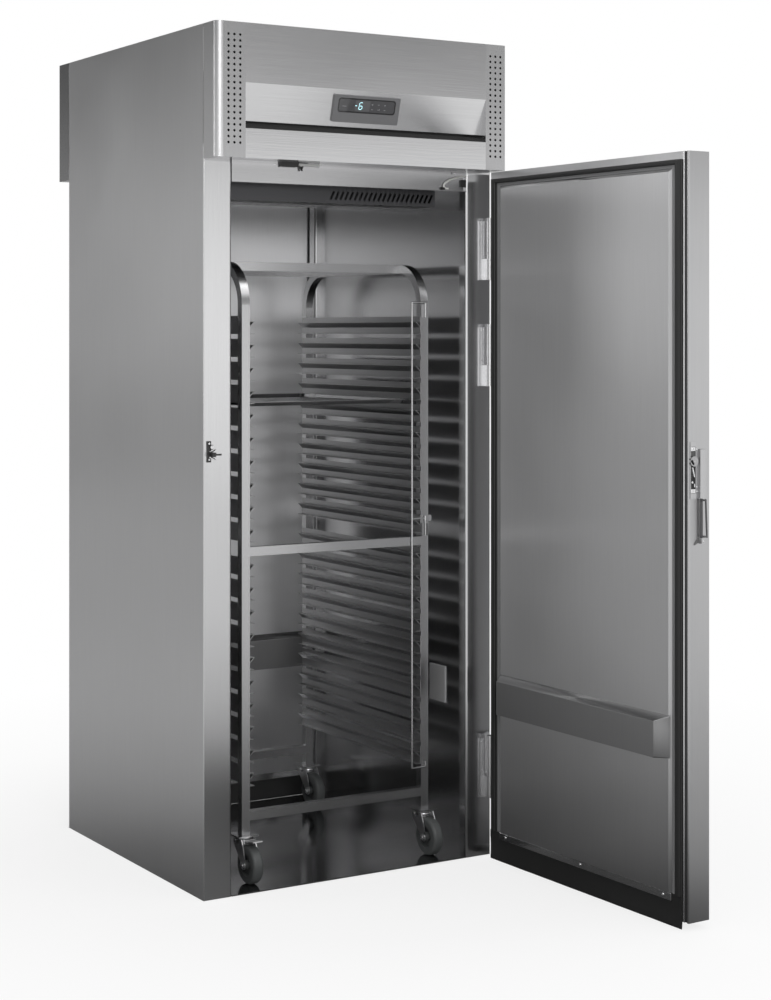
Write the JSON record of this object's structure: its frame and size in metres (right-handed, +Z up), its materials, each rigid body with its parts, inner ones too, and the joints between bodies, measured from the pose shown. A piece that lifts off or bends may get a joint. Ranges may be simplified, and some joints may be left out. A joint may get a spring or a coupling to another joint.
{
  "type": "roll-through chiller",
  "caption": "Tall stainless chiller with a hinged door on each side, a refrigeration unit on top and a runner trolley on casters parked inside.",
  "frame": {"origin": "centre of the cabinet's footprint, on the floor", "axes": "+Z up, front door side towards -Y, +X to the right as seen from the front"},
  "size_m": [1.0006, 1.9429, 2.35],
  "materials": {
    "panel_steel": "brushed upright",
    "front_steel": "brushed level",
    "dark_steel": "glossy",
    "door_steel": "brushed upright",
    "liner_steel": "bright annealed",
    "seal_rubber": "matte",
    "hinge_steel": "satin",
    "handle_steel": "satin",
    "grip_plastic": "satin",
    "latch_steel": "zinc black",
    "bezel_plastic": "satin",
    "display_plastic": "gloss",
    "foam_housing": "matte",
    "coil_metal": "as rolled",
    "fan_plastic": "matte",
    "motor_paint": "gloss",
    "shroud_paint": "zinc plated",
    "copper": "dull copper",
    "lead_plastic": "satin",
    "gland_rubber": "matte",
    "switch_plastic": "satin",
    "trolley_steel": "polished tube",
    "runner_steel": "bright",
    "tray_steel": "bright",
    "caster_steel": "zinc plated",
    "wheel_rubber": "grey rubber"
  },
  "bodies": {
    "cabinet": {"left_wall": "panel_steel", "right_wall": "panel_steel", "chamber_roof": "panel_steel", "floor_pan": "dark_steel", "lintels": "front_steel", "front_fascia": "front_steel", "rear_fascia": "panel_steel", "grille_panels": "front_steel", "control_bezel": "bezel_plastic", "display_window": "display_plastic", "air_duct": "dark_steel", "evaporator_box": "foam_housing", "evaporator_coil": "coil_metal", "fan_motors": "motor_paint", "compressor": "motor_paint", "condenser_coil": "coil_metal", "condenser_shroud": "shroud_paint", "pipework": "copper", "electrical_box": "shroud_paint", "unit_base": "shroud_paint", "heater_lead": "lead_plastic", "cable_glands": "gland_rubber", "door_switch": "switch_plastic", "latch_strikes": "latch_steel", "frame_hinges": "hinge_steel", "wall_pad": "dark_steel"},
    "evaporator_fan": {"evaporator_fan": "fan_plastic"},
    "condenser_fan": {"condenser_fan": "fan_plastic"},
    "switch_lever": {"switch_lever": "switch_plastic"},
    "front_door": {"front_door_slab": "door_steel", "front_door_liner": "liner_steel", "front_door_seals": "seal_rubber", "front_door_bumper": "liner_steel", "front_door_hinges": "hinge_steel", "front_handle_base": "handle_steel"},
    "front_handle": {"front_handle_grip": "grip_plastic"},
    "front_latch": {"front_latch_claw": "latch_steel"},
    "rear_door": {"rear_door_slab": "door_steel", "rear_door_liner": "liner_steel", "rear_door_seals": "seal_rubber", "rear_door_bumper": "liner_steel", "rear_door_hinges": "hinge_steel", "rear_handle_base": "handle_steel"},
    "rear_handle": {"rear_handle_grip": "grip_plastic"},
    "rear_latch": {"rear_latch_claw": "latch_steel"},
    "trolley": {"trolley_side_frames": "trolley_steel", "trolley_crossbars": "trolley_steel", "left_runners": "runner_steel", "right_runners": "runner_steel"},
    "tray": {"serving_tray": "tray_steel"},
    "stop_rod": {"stop_rod": "trolley_steel"},
    "brake_pedal": {"brake_pedal": "caster_steel"},
    "fork_1": {"caster_fork_1": "caster_steel"},
    "wheel_1": {"caster_wheel_1": "wheel_rubber"},
    "fork_2": {"caster_fork_2": "caster_steel"},
    "wheel_2": {"caster_wheel_2": "wheel_rubber"},
    "fork_3": {"caster_fork_3": "caster_steel"},
    "wheel_3": {"caster_wheel_3": "wheel_rubber"},
    "fork_4": {"caster_fork_4": "caster_steel"},
    "wheel_4": {"caster_wheel_4": "wheel_rubber"}
  },
  "joints": [
    {"name": "front_door_swing", "type": "hinge", "parent": "cabinet", "child": "front_door", "pos_m": [0.451, -0.487, 1.076], "axis": [0, 0, 1], "range_deg": [-91.5, 18.5]},
    {"name": "rear_door_swing", "type": "hinge", "parent": "cabinet", "child": "rear_door", "pos_m": [0.451, 0.487, 1.076], "axis": [0, 0, -1], "range_deg": [0, 110]},
    {"name": "front_handle_pull", "type": "hinge", "parent": "front_door", "child": "front_handle", "pos_m": [0.50092, -1.36199, 1.035], "axis": [0, 0, 1], "range_deg": [0, 25], "stiffness_Nm_per_rad": 0.8},
    {"name": "rear_handle_pull", "type": "hinge", "parent": "rear_door", "child": "rear_handle", "pos_m": [-0.425, 0.514, 1.035], "axis": [0, 0, -1], "range_deg": [0, 25], "stiffness_Nm_per_rad": 0.8},
    {"name": "front_latch_turn", "type": "hinge", "parent": "front_door", "child": "front_latch", "pos_m": [0.47687, -1.36052, 1.195], "axis": [-0.0262, 0.9997, 0], "range_deg": [0, 55]},
    {"name": "rear_latch_turn", "type": "hinge", "parent": "rear_door", "child": "rear_latch", "pos_m": [-0.4229, 0.49, 1.195], "axis": [-1, 0, 0], "range_deg": [0, 55]},
    {"name": "evaporator_fan_spin", "type": "hinge", "parent": "cabinet", "child": "evaporator_fan", "pos_m": [0, -0.209, 2.14], "axis": [0, 1, 0], "continuous": true},
    {"name": "condenser_fan_spin", "type": "hinge", "parent": "cabinet", "child": "condenser_fan", "pos_m": [-0.075, 0.308, 2.195], "axis": [0, 1, 0], "continuous": true},
    {"name": "switch_lever_press", "type": "hinge", "parent": "cabinet", "child": "switch_lever", "pos_m": [-0.169, -0.47, 1.976], "axis": [1, 0, 0], "range_deg": [0, 15], "stiffness_Nm_per_rad": 0.02},
    {"name": "trolley_roll", "type": "slide", "parent": "cabinet", "child": "trolley", "axis": [0, -1, 0], "range_m": [0, 1]},
    {"name": "tray_slide", "type": "slide", "parent": "trolley", "child": "tray", "axis": [0, -1, 0], "range_m": [0, 0.03]},
    {"name": "stop_rod_swing", "type": "hinge", "parent": "trolley", "child": "stop_rod", "pos_m": [0.3035, -0.3665, 0.93], "axis": [0, 0, 1], "range_deg": [0, 170]},
    {"name": "caster_1_swivel", "type": "hinge", "parent": "trolley", "child": "fork_1", "pos_m": [-0.2835, -0.3495, 0.12], "axis": [0, 0, 1], "continuous": true},
    {"name": "caster_1_spin", "type": "hinge", "parent": "fork_1", "child": "wheel_1", "pos_m": [-0.2835, -0.3885, 0.0563], "axis": [1, 0, 0], "continuous": true},
    {"name": "caster_2_swivel", "type": "hinge", "parent": "trolley", "child": "fork_2", "pos_m": [0.3035, -0.3495, 0.12], "axis": [0, 0, 1], "continuous": true},
    {"name": "caster_2_spin", "type": "hinge", "parent": "fork_2", "child": "wheel_2", "pos_m": [0.3035, -0.3885, 0.0563], "axis": [1, 0, 0], "continuous": true},
    {"name": "caster_3_swivel", "type": "hinge", "parent": "trolley", "child": "fork_3", "pos_m": [-0.2835, 0.3375, 0.12], "axis": [0, 0, 1], "continuous": true},
    {"name": "caster_3_spin", "type": "hinge", "parent": "fork_3", "child": "wheel_3", "pos_m": [-0.2835, 0.2985, 0.0563], "axis": [1, 0, 0], "continuous": true},
    {"name": "caster_4_swivel", "type": "hinge", "parent": "trolley", "child": "fork_4", "pos_m": [0.3035, 0.3375, 0.12], "axis": [0, 0, 1], "continuous": true},
    {"name": "caster_4_spin", "type": "hinge", "parent": "fork_4", "child": "wheel_4", "pos_m": [0.3035, 0.2985, 0.0563], "axis": [1, 0, 0], "continuous": true},
    {"name": "brake_pedal_press", "type": "hinge", "parent": "fork_1", "child": "brake_pedal", "pos_m": [-0.2835, -0.3815, 0.119], "axis": [1, 0, 0], "range_deg": [0, 12]}
  ]
}
